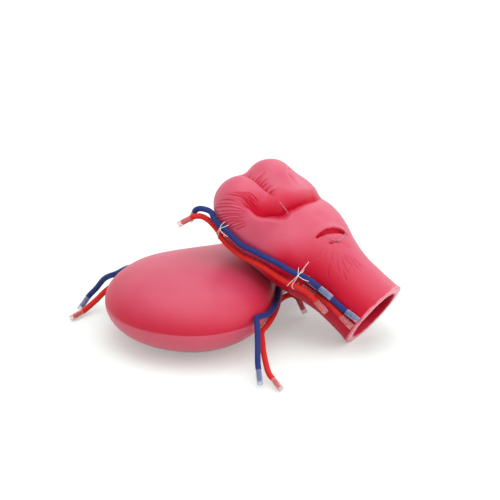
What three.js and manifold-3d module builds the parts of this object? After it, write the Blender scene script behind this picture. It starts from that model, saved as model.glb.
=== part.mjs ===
// Two foam uterus models for obstetric training, one plain and one folded by a brace suture.
// Millimetres, +Z up. The origin is the middle of the plain model's rest face on the table.
import * as THREE from "three";
import { mergeVertices } from "three/addons/utils/BufferGeometryUtils.js";
import Module from "manifold-3d";

const wasm = await Module();
wasm.setup();

// Plain model: half an egg at the closed end, then a taper to a round neck, which points along +Y.
const PLAIN_DOME_LENGTH = 79; // from the widest place to the closed end
const PLAIN_HALF_WIDTH = 83;
const PLAIN_HALF_THICKNESS = 39;
const PLAIN_SHOULDER = 60; // radius in plan of the turn from the widest place to the taper
const PLAIN_TAPER = 0.85; // half width lost for each millimetre toward the neck
const PLAIN_NECK_START = 104;
const PLAIN_NECK_END = 165;
const PLAIN_NECK_RADIUS = 34;
const PLAIN_NECK_FILLET = 14; // between the taper and the neck
const PLAIN_WALL = 11;

// Folded model, from the middle of its neck rim up to the folded fundus. It leans on the plain one.
const RIM_PLACE = [154, 98.7]; // where the middle of its rim stands over the table
const LEAN_TURN = 4.4; // degrees from +X toward +Y, the way that its neck points, seen from above
const NECK_RADIUS = 36;
const NECK_LENGTH = 78;
const NECK_CROWN = 1.4; // height of the neck's domed end, as a share of its radius
const RIM_FLARE = 1.5;
const RIM_FLARE_LENGTH = 8;
const FOLDED_WALL = 8;
// Swellings of its body, then of the roll folded over it: middle, radii, and fillet with the rest.
const BODY_SWELLINGS = [
  [[0, -1, 113], [56, 36, 58], 30],
  [[4, -4, 147], [54, 29, 40], 20],
  [[-14, 6, 106], [34, 29, 34], 16],
];
const ROLL_SWELLINGS = [
  [[29, 9, 163], [30.5, 28, 31], 12],
  [[-7, 22, 158], [30, 27.5, 31], 12],
  [[-27, 13.5, 140], [24, 26, 26], 14],
  [[3, 19, 137], [44, 29, 24.5], 8],
];
const GROOVE_FILLET = 4; // under the roll
const PINCH_FILLET = 14; // at the groove's near end
const PINCH_START = 36;
const PINCH_END = 54;

// Lower-segment incision through the front wall of the folded model.
const INCISION_HEIGHT = 77.7; // above the rim
const INCISION_SHIFT = 4; // toward the near side
const INCISION_WIDTH = 50;
const INCISION_TILT = 23; // degrees
const INCISION_ARCH = 6;
const INCISION_GAP = 5;

// Vessel cords with clear sleeves on their ends, and the threads.
const CORD_RADIUS = 2.9;
const SLEEVE_WALL = 0.6;
const SLEEVE_LENGTH = 15;
const SLEEVE_OVERHANG = 4; // reaches this far past the end of its cord
const TIE_RADIUS = 0.4;
const TIE_SLACK = 0.45; // the stitch stands this much off the cords
const TIE_SLANT = 1; // a stitch slants this much along its cords from point to point
const TAIL_LENGTH = 12; // of a tie's short tail
const LONG_TAIL = 17; // of the near lower tie's second tail
const PLAIN_TIE_PLACE = 103; // toward the neck
const UPPER_TIE_HEIGHTS = { near: 159, far: 139 };
const LOWER_TIE_HEIGHT = 72;
const BRACE_RADIUS = 0.6;
const KNOT_RADIUS = 1.5;
const GAP = 0.3; // left between pieces that touch

const FLOOR_CUT = 1; // depth of the flats that rest on the table
const TABLE_SIZE = 900;
const TABLE_DEPTH = 100;
const REACH = 140; // longest way from a spine to the skin
const STRIDE = 2; // first search for the skin goes by this much
const LEAN_LIMITS = [10, 50]; // degrees below level that the folded model's neck may point

// Rings along each skin, rings round its closed end, and points in a ring.
const PLAIN_OUTER = { along: 14, cap: 9, sides: 40 };
const PLAIN_INNER = { along: 7, cap: 5, sides: 40 };
const FOLDED_OUTER = { along: 22, cap: 12, sides: 48 };
const FOLDED_INNER = { along: 9, cap: 5, sides: 48 };

const rad = THREE.MathUtils.degToRad;
const X = new THREE.Vector3(1, 0, 0);
const Y = new THREE.Vector3(0, 1, 0);

// Smallest of two distances, with a fillet of about this size between the two shapes.
function blend(a, b, size) {
  const h = Math.max(size - Math.abs(a - b), 0) / size;
  return Math.min(a, b) - (h * h * size) / 4;
}

// Distance to an ellipse or ellipsoid, negative inside, from the offsets to its middle.
function roundDistance(offsets, radii) {
  const near = Math.hypot(...offsets.map((v, i) => v / radii[i]));
  const slope = Math.hypot(...offsets.map((v, i) => v / radii[i] ** 2));
  return slope < 1e-6 ? -Math.min(...radii) : (near * (near - 1)) / slope;
}

function ellipsoid(p, centre, radii) {
  return roundDistance([p.x - centre[0], p.y - centre[1], p.z - centre[2]], radii);
}

// Plain model's own frame: x across, y toward the neck, z up.
function plainHalfWidth(y) {
  const run = Math.hypot(Math.max(y, 0), PLAIN_SHOULDER) - PLAIN_SHOULDER;
  return -blend(-(PLAIN_HALF_WIDTH - PLAIN_TAPER * run), -PLAIN_NECK_RADIUS, PLAIN_NECK_FILLET);
}

function plainHalfThickness(y) {
  const share = THREE.MathUtils.smoothstep(y, 0, PLAIN_NECK_START);
  return PLAIN_HALF_THICKNESS + (PLAIN_NECK_RADIUS - PLAIN_HALF_THICKNESS) * share;
}

function plainMiddle(y) {
  return plainHalfThickness(y) - FLOOR_CUT;
}

function plainDistance(p) {
  const wide = plainHalfWidth(p.y);
  const thick = plainHalfThickness(p.y);
  const z = p.z - plainMiddle(p.y);
  if (p.y >= 0) return roundDistance([p.x, z], [wide, thick]);
  return roundDistance([p.x, z, p.y], [wide, thick, PLAIN_DOME_LENGTH]);
}

function swellings(p, start, list) {
  return list.reduce((d, [middle, radii, fillet]) => blend(d, ellipsoid(p, middle, radii), fillet), start);
}

// Folded model's own frame: x toward the near side, y out of its front, z from the rim to the fundus.
function foldedDistance(p) {
  const above = Math.max(p.z - NECK_LENGTH, 0) / NECK_CROWN;
  const neck = Math.hypot(p.x, p.y, above) - NECK_RADIUS - RIM_FLARE * Math.exp(-p.z / RIM_FLARE_LENGTH);
  const body = swellings(p, neck, BODY_SWELLINGS);
  const roll = swellings(p, Infinity, ROLL_SWELLINGS);
  const pinch = THREE.MathUtils.smoothstep(p.x, PINCH_START, PINCH_END);
  return blend(body, roll, THREE.MathUtils.lerp(GROOVE_FILLET, PINCH_FILLET, pinch));
}

// Where a ray from inside a shape comes out of it.
function castTo(distance, from, direction) {
  const at = (length) => distance(from.clone().addScaledVector(direction, length));
  let inside = 0;
  while (inside < REACH && at(inside + STRIDE) < 0) inside += STRIDE;
  let outside = inside + STRIDE;
  for (let i = 0; i < 24; i += 1) {
    const middle = (inside + outside) / 2;
    if (at(middle) < 0) inside = middle;
    else outside = middle;
  }
  return from.clone().addScaledVector(direction, (inside + outside) / 2);
}

// Rings of skin around a spine, from its open start to the pole over its closed end.
function skinRings(spine, across, distance, { along, cap, sides }) {
  const rings = [];
  const cast = (at, share, tilt) => {
    const tangent = spine.getTangentAt(share);
    const side = across.clone().addScaledVector(tangent, -across.dot(tangent)).normalize();
    const front = new THREE.Vector3().crossVectors(tangent, side);
    return Array.from({ length: sides }, (_, k) => {
      const turn = (2 * Math.PI * k) / sides;
      const direction = side.clone().multiplyScalar(Math.cos(turn) * Math.cos(tilt));
      direction.addScaledVector(front, Math.sin(turn) * Math.cos(tilt));
      direction.addScaledVector(tangent, Math.sin(tilt));
      return castTo(distance, at, direction);
    });
  };
  for (let i = 0; i <= along; i += 1) {
    const share = i / along;
    rings.push(cast(spine.getPointAt(share), share, 0));
  }
  const end = spine.getPointAt(1);
  for (let i = 1; i < cap; i += 1) rings.push(cast(end, 1, (Math.PI / 2) * (i / cap)));
  const pole = castTo(distance, end, spine.getTangentAt(1));
  return { rings, pole };
}

// One closed body from an outer and an inner skin that share their rim.
function cup(outer, inner) {
  const sides = outer.rings[0].length;
  const rings = [...inner.rings].reverse().concat(outer.rings);
  const points = [inner.pole, ...rings.flat(), outer.pole];
  const index = [];
  const id = (ring, k) => 1 + ring * sides + (k % sides);
  for (let k = 0; k < sides; k += 1) {
    index.push(0, id(0, k + 1), id(0, k));
    index.push(points.length - 1, id(rings.length - 1, k), id(rings.length - 1, k + 1));
    for (let r = 0; r + 1 < rings.length; r += 1) {
      index.push(id(r, k), id(r + 1, k + 1), id(r + 1, k));
      index.push(id(r, k), id(r, k + 1), id(r + 1, k + 1));
    }
  }
  const geometry = new THREE.BufferGeometry().setFromPoints(points);
  geometry.setIndex(index);
  return geometry;
}

function toSolid(geometry) {
  const plain = geometry.clone();
  plain.deleteAttribute("normal");
  plain.deleteAttribute("uv");
  const merged = mergeVertices(plain, 1e-4);
  const triVerts = new Uint32Array(merged.index.array);
  return new wasm.Manifold(
    new wasm.Mesh({ numProp: 3, vertProperties: merged.attributes.position.array, triVerts }),
  );
}

function toGeometry(solid) {
  const mesh = solid.getMesh();
  const geometry = new THREE.BufferGeometry();
  geometry.setAttribute("position", new THREE.BufferAttribute(mesh.vertProperties, 3));
  geometry.setIndex(new THREE.BufferAttribute(mesh.triVerts, 1));
  geometry.computeVertexNormals();
  return geometry;
}

// Table surface as a block, in the frame of a group that stands over it.
function tableBlock(group) {
  group.updateMatrix();
  const block = new THREE.BoxGeometry(TABLE_SIZE, TABLE_SIZE, TABLE_DEPTH);
  block.translate(0, 0, -TABLE_DEPTH / 2);
  return toSolid(block.applyMatrix4(group.matrix.clone().invert()));
}

// Moves a point to a given height over a skin.
function seat(point, distance, height) {
  const p = point.clone();
  for (let i = 0; i < 6; i += 1) p.addScaledVector(slope(p, distance), height - distance(p));
  return p;
}

// Unit vector that points straight away from a skin.
function slope(p, distance) {
  const here = distance(p);
  const shift = 0.05;
  const step = (x, y, z) => distance(new THREE.Vector3(p.x + x, p.y + y, p.z + z)) - here;
  return new THREE.Vector3(step(shift, 0, 0), step(0, shift, 0), step(0, 0, shift)).normalize();
}

// A cord's centre line. A fourth number is the height over the foam that the point is set to.
function cordCurve(points, distance) {
  const chosen = points.map(([x, y, z, height]) => {
    const p = new THREE.Vector3(x, y, z);
    return height === undefined ? p : seat(p, distance, height);
  });
  const first = straightEnd(chosen[0], chosen[1]);
  const last = straightEnd(chosen.at(-1), chosen.at(-2));
  return new THREE.CatmullRomCurve3([
    chosen[0],
    first,
    ...chosen.slice(1, -1),
    last,
    chosen.at(-1),
  ]);
}

// Point that keeps the stretch inside the sleeve straight.
function straightEnd(end, next) {
  const run = SLEEVE_LENGTH - SLEEVE_OVERHANG;
  return end.clone().addScaledVector(next.clone().sub(end).normalize(), run);
}

function roundTube(curve, radius, steps, sides = 8) {
  const section = new THREE.Shape(
    Array.from({ length: sides }, (_, k) => {
      const turn = (2 * Math.PI * k) / sides;
      return new THREE.Vector2(radius * Math.cos(turn), radius * Math.sin(turn));
    }),
  );
  return new THREE.ExtrudeGeometry(section, { steps, extrudePath: curve, bevelEnabled: false });
}

// Clear sleeve over one end of a cord, with the cord's end a little way inside it.
function sleeve(curve, share) {
  const bore = CORD_RADIUS + GAP;
  const outer = bore + SLEEVE_WALL;
  const half = SLEEVE_LENGTH / 2;
  const profile = [
    [bore, -half],
    [outer, -half],
    [outer, half],
    [bore, half],
    [bore, -half],
  ].map((p) => new THREE.Vector2(...p));
  const outward = curve.getTangent(share).multiplyScalar(share === 0 ? -1 : 1);
  const middle = curve.getPoint(share).addScaledVector(outward, SLEEVE_OVERHANG - half);
  const geometry = new THREE.LatheGeometry(profile, 8);
  geometry.applyQuaternion(new THREE.Quaternion().setFromUnitVectors(Y, outward));
  return geometry.translate(middle.x, middle.y, middle.z);
}

// Place on a cord where it passes a given height or station of its model.
function cordStation(curve, axis, value) {
  let best = 0;
  for (let share = 0; share <= 1; share += 0.002) {
    const miss = Math.abs(curve.getPointAt(share)[axis] - value);
    if (miss < Math.abs(curve.getPointAt(best)[axis] - value)) best = share;
  }
  return best;
}

// Thread stitch over a pair of cords, out of the foam on one side and into it on the other.
function tie(cords, axis, value, distance, looseEnd) {
  const [first, second] = cords.map((cord) => {
    const share = cordStation(cord, axis, value);
    return { at: cord.getPointAt(share), along: cord.getTangentAt(share) };
  });
  if (first.along.dot(second.along) < 0) second.along.negate();
  const along = first.along.clone().add(second.along).normalize();
  const across = second.at.clone().sub(first.at);
  across.addScaledVector(along, -across.dot(along)).normalize();
  const out = new THREE.Vector3().crossVectors(along, across);
  if (out.dot(slope(first.at, distance)) < 0) out.negate();
  const reach = CORD_RADIUS + GAP + TIE_RADIUS + TIE_SLACK;
  const place = (cord, side, lift, shift) => {
    const p = cord.at.clone().addScaledVector(across, side * reach);
    return p.addScaledVector(out, lift * reach).addScaledVector(cord.along, shift);
  };
  const foot = (cord, side, shift) => {
    return seat(place(cord, side, -0.6, shift), distance, TIE_RADIUS + GAP);
  };
  const corner = Math.SQRT1_2;
  const strands = [-TIE_SLANT, TIE_SLANT].map((way) => [
    foot(first, -1.3, 3 * way),
    place(first, -1, 0, 2 * way),
    place(first, -corner, corner, way),
    place(first, 0, 1, 0),
    place(second, 0, 1, -2 * way),
    place(second, corner, corner, -3 * way),
    place(second, 1, 0, -4 * way),
    foot(second, 1.3, -5 * way),
  ]);
  const knot = place(first, 0, 1, 0).addScaledVector(out, KNOT_RADIUS / 3);
  const tail = (side, lift, share) => place(first, side, lift, TAIL_LENGTH * share);
  const tails = [[knot, tail(0.2, 1.4, 1 / 3), tail(0.4, 1.3, 2 / 3), tail(0.3, 1.3, 1)]];
  if (looseEnd) {
    const loose = (share) => place(first, -looseEnd * share / reach, 1.2 - share / 2, 6 * share);
    tails.push([knot, loose(0.3), loose(0.6), loose(1)]);
  }
  const threads = strands
    .map((points) => threadTube(points, 14))
    .concat(tails.map((points) => threadTube(points, 5)));
  const ball = new THREE.SphereGeometry(KNOT_RADIUS, 8, 6).translate(knot.x, knot.y, knot.z);
  return join([ball, ...threads]);
}

function threadTube(points, steps) {
  return roundTube(new THREE.CatmullRomCurve3(points), TIE_RADIUS, steps, 6);
}

function join(geometries) {
  return geometries.map(toSolid).reduce((sum, solid) => sum.add(solid));
}

const model = new THREE.Group();
const plain = new THREE.Group();
const folded = new THREE.Group();
model.add(plain, folded);

const foldedSpine = new THREE.CatmullRomCurve3(
  [
    [0, 0, 0],
    [0, 0, 60],
    [0, 0, 110],
    [6, 4, 140],
    [14, 8, 160],
  ].map((p) => new THREE.Vector3(...p)),
);
const foldedSkin = skinRings(foldedSpine, X, foldedDistance, FOLDED_OUTER);

// Stands the folded model on the edge of its rim, with its neck this many degrees below level.
function lean(pitch) {
  const level = Math.cos(rad(pitch));
  const turn = rad(LEAN_TURN);
  const towardFundus = new THREE.Vector3(
    -level * Math.cos(turn),
    -level * Math.sin(turn),
    Math.sin(rad(pitch)),
  );
  const nearSide = new THREE.Vector3(Math.sin(turn), -Math.cos(turn), 0);
  const front = new THREE.Vector3().crossVectors(towardFundus, nearSide);
  folded.quaternion.setFromRotationMatrix(
    new THREE.Matrix4().makeBasis(nearSide, front, towardFundus),
  );
  folded.position.set(...RIM_PLACE, (NECK_RADIUS + RIM_FLARE) * level - FLOOR_CUT);
  folded.updateMatrix();
}

// Smallest gap from the folded model's skin to the plain model.
function leanGap() {
  plain.updateMatrix();
  const toPlain = plain.matrix.clone().invert().multiply(folded.matrix);
  const gaps = foldedSkin.rings.flat().map((p) => plainDistance(p.clone().applyMatrix4(toPlain)));
  return Math.min(...gaps);
}

function leanUntilItRests() {
  let [low, high] = LEAN_LIMITS;
  for (let i = 0; i < 20; i += 1) {
    lean((low + high) / 2);
    if (leanGap() < GAP) low = (low + high) / 2;
    else high = (low + high) / 2;
  }
  lean(high);
}

leanUntilItRests();

const foam = new THREE.MeshStandardMaterial({ color: 0xd9546f, roughness: 0.7, metalness: 0 });
const red = new THREE.MeshStandardMaterial({ color: 0xc8261e, roughness: 0.8, metalness: 0 });
const blue = new THREE.MeshStandardMaterial({ color: 0x24408f, roughness: 0.8, metalness: 0 });
const clear = new THREE.MeshStandardMaterial({ color: 0xd8d4e0, roughness: 0.3, metalness: 0 });
const thread = new THREE.MeshStandardMaterial({ color: 0xf2ece6, roughness: 0.8, metalness: 0 });

function add(group, name, geometry, material) {
  const mesh = new THREE.Mesh(geometry, material.clone());
  mesh.name = name;
  group.add(mesh);
}

function plainBody() {
  const stations = [PLAIN_NECK_END, PLAIN_NECK_START, PLAIN_SHOULDER, 0];
  const spine = new THREE.CatmullRomCurve3(
    stations.map((y) => new THREE.Vector3(0, y, plainMiddle(y))),
  );
  const inner = (p) => plainDistance(p) + PLAIN_WALL;
  const outside = skinRings(spine, X, plainDistance, PLAIN_OUTER);
  const inside = skinRings(spine, X, inner, PLAIN_INNER);
  return toSolid(cup(outside, inside)).subtract(tableBlock(plain));
}

// Thin arched blade that parts the front wall.
function incisionBlade() {
  const half = INCISION_WIDTH / 2;
  const lip = (offset) => 2 * INCISION_ARCH + offset; // a quadratic curve reaches half this high
  const outline = new THREE.Shape();
  outline.moveTo(-half, 0);
  outline.quadraticCurveTo(0, lip(INCISION_GAP), half, 0);
  outline.quadraticCurveTo(0, lip(-INCISION_GAP), -half, 0);
  const depth = 2 * NECK_RADIUS;
  const blade = new THREE.ExtrudeGeometry(outline, { depth, curveSegments: 10, bevelEnabled: false });
  blade.rotateX(Math.PI / 2).rotateY(-rad(INCISION_TILT));
  return toSolid(blade.translate(INCISION_SHIFT, depth + FOLDED_WALL, INCISION_HEIGHT));
}

function foldedBody() {
  const inner = (p) => foldedDistance(p) + FOLDED_WALL;
  const inside = skinRings(foldedSpine, X, inner, FOLDED_INNER);
  const hollow = toSolid(cup(foldedSkin, inside)).subtract(tableBlock(folded));
  return hollow.subtract(incisionBlade());
}

// Routes of the vessel cords, each in its own model's frame. A fourth number is a height over the foam.
const LOW = 4.2; // on the foam, with room for a sleeve
const END = 4.8; // at an end over a hollow of the foam
const RISE = 8; // on the way up to another cord
const OVER = 11.4; // over another cord
const PLAIN_CORDS = {
  plain_right_ovarian_vein: [
    [38, 126, 42, LOW], [38.5, 110, 42, LOW], [43, 97, 40, LOW], [52, 85, 38, LOW],
    [62, 64, 38, LOW], [69, 50, 38, LOW], [76, 33, 39, LOW], [81, 16, 41, LOW],
    [86, 0, 45, LOW], [91, -6, 40], [100, -17, 28], [111, -31, 17.5], [123, -43.5, 8],
  ],
  plain_right_ovarian_artery: [
    [38, 126, 33, LOW], [38.5, 110, 33, LOW], [43, 97, 31, LOW], [49, 86, 30, LOW],
    [56, 77, 30, LOW], [67, 55, 30, LOW], [74, 38, 30, LOW], [77.5, 24, 28, LOW],
    [82, 13, 24], [89.5, 4, 20], [102, -10, 16], [123, -29, 9], [141.5, -38, 5.2],
  ],
  plain_right_uterine_artery: [
    [60, 52, 15, LOW], [56, 66, 16, LOW], [50, 79, 19, LOW], [50, 90, 22],
    [54, 99, 22.5], [57, 104.6, 17], [63.5, 104.8, 6.5],
  ],
  plain_right_uterine_vein: [
    [39.5, 104, 22, END], [38, 119, 24, LOW], [39.5, 129, 21], [45, 136, 13], [53.5, 144, 6],
  ],
  plain_left_ovarian_vein: [
    [-38, 126, 42, LOW], [-38.5, 110, 42, LOW], [-43, 97, 41, LOW], [-52, 85, 40, LOW],
    [-62, 64, 40, LOW], [-70, 50, 40, LOW], [-77, 30, 41, LOW], [-81, 8, 44, LOW],
    [-86, -8, 46, LOW], [-99, -10, 37], [-111, -11, 22], [-118.8, -13, 12.5],
    [-117, -26.5, 6.5],
  ],
  plain_left_ovarian_artery: [
    [-38, 126, 33, LOW], [-38.5, 110, 33, LOW], [-43, 97, 32, LOW], [-52, 85, 31, LOW],
    [-62, 64, 31, LOW], [-70, 50, 31, LOW], [-76, 30, 32, LOW], [-81, 12, 34, LOW],
    [-87, 0, 33], [-96, -10, 25.5], [-106, -18, 12.5], [-110, -30.5, 5.5],
    [-110.4, -45.5, 4.4],
  ],
  plain_left_uterine_artery: [
    [-60, 52, 15, LOW], [-56, 66, 16, LOW], [-50, 79, 19, LOW], [-49, 90, 20],
    [-55, 100, 13], [-66, 109, 6],
  ],
  plain_left_uterine_vein: [
    [-39.5, 104, 22, END], [-38, 119, 24, LOW], [-39.5, 129, 21], [-45, 136, 13], [-53.5, 144, 6],
  ],
};
const FOLDED_CORDS = {
  sutured_near_ovarian_vein: [
    [50.7, -31.3, 194.3], [54, -18.4, 194.6], [55, -11.3, 190.9],
    [57.5, -6.2, 182.2, LOW], [59.6, -4, 172, LOW], [60.5, -2.9, 165.7, LOW], [62, -0.5, 157, LOW],
    [63, -1, 144, LOW], [63, -1.6, 134, LOW], [61, 2.3, 120, LOW], [59, 5, 109, LOW],
    [56.6, 9, 93.5, LOW], [54, 11.5, 81, RISE], [50.5, 15.5, 67, OVER], [46.5, 14.9, 54, OVER],
    [44.6, 14.4, 39, OVER],
  ],
  sutured_near_ovarian_artery: [
    [69.6, -29.3, 194.6], [62, -19.5, 190.5], [58.2, -15.4, 185.4], [56, -14, 177.6],
    [56.4, -13.8, 169.4], [57.8, -13.8, 162.2], [58, -14, 155, LOW], [58, -14.5, 144, LOW],
    [57, -13, 130, LOW], [59, -9, 117, LOW], [59.3, -5.6, 106, LOW], [57.2, -3.9, 90, LOW],
    [54.5, -0.5, 80, RISE], [52.7, 3.3, 69, OVER], [50, 4.5, 58, OVER], [47.8, 2.2, 47, OVER],
    [46.5, -0.9, 34, OVER],
  ],
  sutured_near_uterine_vein: [
    [42, 10, 64, LOW], [40, 8.5, 49, LOW], [39.2, 9, 35, LOW], [39.2, 10, 20, LOW],
    [39.8, 12.4, 5.5, LOW],
  ],
  sutured_near_uterine_artery: [
    [43.5, 0.5, 62, LOW], [41, 1.5, 47.5, LOW], [40, 2.8, 35.5, LOW], [40.2, 3, 21, LOW],
    [41.3, 2.6, 6.5, LOW],
  ],
  sutured_far_ovarian_vein: [
    [-68, -22, 160], [-60, -15, 168.5], [-57, -12, 160], [-57, -11, 149, LOW],
    [-59, -11, 138, LOW], [-60, -10, 120, LOW], [-58.6, -10.1, 109, LOW], [-55.9, -11.9, 93.5, LOW],
    [-53.3, -8.5, 81, RISE], [-50.8, -5.1, 67, OVER], [-46.8, -4.6, 54, OVER], [-44.8, -4.3, 39, OVER],
  ],
  sutured_far_ovarian_artery: [
    [-62, -39, 163], [-55, -30, 158], [-51, -24, 148, LOW], [-51, -23, 138, LOW],
    [-53, -22, 120, LOW], [-52.9, -21.8, 106, LOW], [-50.3, -23.2, 90, LOW], [-49.7, -20.1, 80, RISE],
    [-48.1, -16.9, 69, OVER], [-47.3, -15.7, 58, OVER], [-44.7, -16.4, 47, OVER], [-42.9, -18.1, 34, OVER],
  ],
  sutured_far_uterine_vein: [
    [-41.3, -7.8, 64, LOW], [-39.1, -9.5, 49, LOW], [-38.6, -9.5, 35, LOW], [-38.7, -8.5, 20, LOW],
    [-39.4, -7.1, 5.5, LOW],
  ],
  sutured_far_uterine_artery: [
    [-38.8, -18.6, 62, LOW], [-36.3, -18.2, 47.5, LOW], [-35.8, -18.2, 35.5, LOW],
    [-35.9, -17.7, 21, LOW], [-37, -17.3, 6.5, LOW],
  ],
};

// Brace suture: from its knot under the incision over the fundus, round the back and over again.
// Its strands down the back keep off the place where the two models touch.
const FLAT = 1.2; // thread on the foam
const CREASE = 2.8; // thread across a crease
const BRACE_ROUTE = [
  [5, 39, 71, FLAT], [12, 38, 80, FLAT], [14, 38, 92, FLAT], [18, 37, 108, FLAT],
  [22.7, 36.5, 121.3, CREASE], [27, 41, 130, CREASE], [28, 42.7, 138, CREASE], [23.8, 41, 150, CREASE],
  [20, 38.8, 163, CREASE], [19, 35, 175, CREASE], [16, 18, 184, CREASE], [12, -5, 180, CREASE],
  [8, -22, 168, FLAT], [3, -31, 150, FLAT], [-1, -36, 130, FLAT], [-1, -37, 112, FLAT],
  [-2, -37, 96, FLAT], [-9, -37, 87, FLAT], [-17, -36, 95, FLAT], [-19, -36, 112, FLAT],
  [-19, -35, 130, FLAT], [-18, -31, 148, FLAT], [-16, -18, 164, FLAT], [-18, 2, 171, CREASE],
  [-18, 25, 169, CREASE], [-17.5, 44, 156, CREASE], [-15, 47.5, 142, CREASE], [-10, 46, 131, CREASE],
  [-12, 40, 120, CREASE], [-14, 40, 106, FLAT], [-15, 39, 92, FLAT], [-10, 39, 80, FLAT],
  [5, 39, 71, FLAT],
];
const BRACE_TAILS = [
  [[5, 39, 71, FLAT], [-4, 40, 72, 3], [-13, 38, 75, 2], [-20, 36, 84, 2.5]],
  [[5, 39, 71, FLAT], [9, 38, 66, 2.5], [14, 35, 60, 1.5]],
];

function seated(points, distance) {
  return points.map(([x, y, z, height]) => seat(new THREE.Vector3(x, y, z), distance, height));
}

// Curve that keeps at least this far over the foam between its chosen points too.
function hug(points, distance, height, steps) {
  const curve = new THREE.CatmullRomCurve3(seated(points, distance));
  const samples = curve.getSpacedPoints(steps);
  return new THREE.CatmullRomCurve3(
    samples.map((p) => (distance(p) < height ? seat(p, distance, height) : p)),
  );
}

function braceSuture() {
  const loop = roundTube(hug(BRACE_ROUTE, foldedDistance, FLAT, 70), BRACE_RADIUS, 70);
  const tails = BRACE_TAILS.map((points) =>
    roundTube(hug(points, foldedDistance, FLAT, 8), BRACE_RADIUS, 8),
  );
  const [knot] = seated(BRACE_ROUTE.slice(0, 1), foldedDistance);
  const lift = KNOT_RADIUS + GAP - foldedDistance(knot);
  knot.addScaledVector(slope(knot, foldedDistance), lift);
  const ball = new THREE.SphereGeometry(KNOT_RADIUS, 8, 6).translate(knot.x, knot.y, knot.z);
  return join([ball, loop, ...tails]);
}

function addCords(group, routes, distance) {
  const curves = {};
  for (const [name, points] of Object.entries(routes)) {
    const curve = cordCurve(points, distance);
    curves[name] = curve;
    const steps = Math.round(curve.getLength() / (4 * CORD_RADIUS));
    const colour = name.endsWith("vein") ? blue : red;
    add(group, name, roundTube(curve, CORD_RADIUS, steps), colour);
    add(group, name + "_first_sleeve", sleeve(curve, 0), clear);
    add(group, name + "_second_sleeve", sleeve(curve, 1), clear);
  }
  return curves;
}

function addTie(group, name, ...place) {
  add(group, name, toGeometry(tie(...place)), thread);
}

add(plain, "plain_uterus_body", toGeometry(plainBody()), foam);
add(folded, "sutured_uterus_body", toGeometry(foldedBody()), foam);

const onPlain = addCords(plain, PLAIN_CORDS, plainDistance);
const onFolded = addCords(folded, FOLDED_CORDS, foldedDistance);
for (const side of ["left", "right"]) {
  const pair = ["vein", "artery"].map((kind) => onPlain[`plain_${side}_ovarian_${kind}`]);
  addTie(plain, `plain_${side}_tie`, pair, "y", PLAIN_TIE_PLACE, plainDistance);
}
for (const side of ["near", "far"]) {
  const pair = ["vein", "artery"].map((kind) => onFolded[`sutured_${side}_ovarian_${kind}`]);
  const longTail = side === "near" ? LONG_TAIL : 0;
  addTie(folded, `sutured_${side}_upper_tie`, pair, "z", UPPER_TIE_HEIGHTS[side], foldedDistance);
  addTie(folded, `sutured_${side}_lower_tie`, pair, "z", LOWER_TIE_HEIGHT, foldedDistance, longTail);
}
add(folded, "compression_suture", toGeometry(braceSuture()), thread);

export default model;
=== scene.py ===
"""Two foam uterus models, one plain and one folded by a brace suture: their looks, in metres, +Z up."""

import math

import bmesh
import bpy
import numpy as np
from mathutils import Matrix, Vector


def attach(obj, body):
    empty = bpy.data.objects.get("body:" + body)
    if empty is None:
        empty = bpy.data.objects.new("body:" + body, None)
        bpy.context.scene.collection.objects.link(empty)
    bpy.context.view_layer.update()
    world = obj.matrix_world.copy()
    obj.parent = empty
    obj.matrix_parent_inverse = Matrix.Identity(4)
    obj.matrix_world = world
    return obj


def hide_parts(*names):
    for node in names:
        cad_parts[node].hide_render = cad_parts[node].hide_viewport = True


MM = 0.001

# Camera, at the photograph's angle
AIM = (11.1 * MM, 84.8 * MM, 64.8 * MM)
AZIMUTH = 38
ELEVATION = 25
CAMERA_DISTANCE = 2.4
LENS = 172.8
SENSOR = 36

# Plain model: half an egg at the closed end, then a taper to a round neck
PLAIN_DOME_LENGTH = 79 * MM
PLAIN_HALF_WIDTH = 83 * MM
PLAIN_HALF_THICKNESS = 39 * MM
PLAIN_SHOULDER = 60 * MM
PLAIN_TAPER = 0.85
PLAIN_NECK_START = 104 * MM
PLAIN_NECK_RADIUS = 34 * MM
PLAIN_NECK_FILLET = 14 * MM
PLAIN_WALL = 11 * MM
SEAM_HEIGHT = 39.5 * MM
SEAM_STEP = -0.35 * MM
SEAM_WIDTH = 0.7 * MM
SEAM_WAVE = 0.8 * MM
SEAM_WAVE_LENGTH = 23 * MM

# Folded model: its own frame runs from the middle of its neck rim up to the folded fundus
RIM_PLACE = (154 * MM, 98.7 * MM, 30.624 * MM)
LEAN_TURN = 4.4
LEAN_PITCH = 32.51
NECK_RADIUS = 36 * MM
NECK_LENGTH = 78 * MM
NECK_CROWN = 1.4
RIM_FLARE = 1.5 * MM
RIM_FLARE_LENGTH = 8 * MM
FOLDED_WALL = 8 * MM
FLOOR_CUT = 1 * MM

# Cords, sleeves and threads
CORD_RADIUS = 2.9 * MM
END_PRESS = 0.35 * MM
SLEEVE_BORE = 2.6 * MM
SLEEVE_RADIUS = 2.9 * MM
SLEEVE_LENGTH = 15 * MM
SLEEVE_OVERHANG = 4 * MM
TIE_RADIUS = 0.28 * MM
BRACE_RADIUS = 0.24 * MM
KNOT_RADIUS = 0.8 * MM

STRANDS = 8
BRAID_PITCH = 21 * MM
BRAID_DEPTH = 0.45 * MM
CORD_STEP = 0.5 * MM
TIE_SLACK = 0.15 * MM
CORD_SIDES = 40
THREAD_SIDES = 10
TIE_STEPS = 40
KNOT_STEPS = 90
BRACE_STEPS = 400

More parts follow.
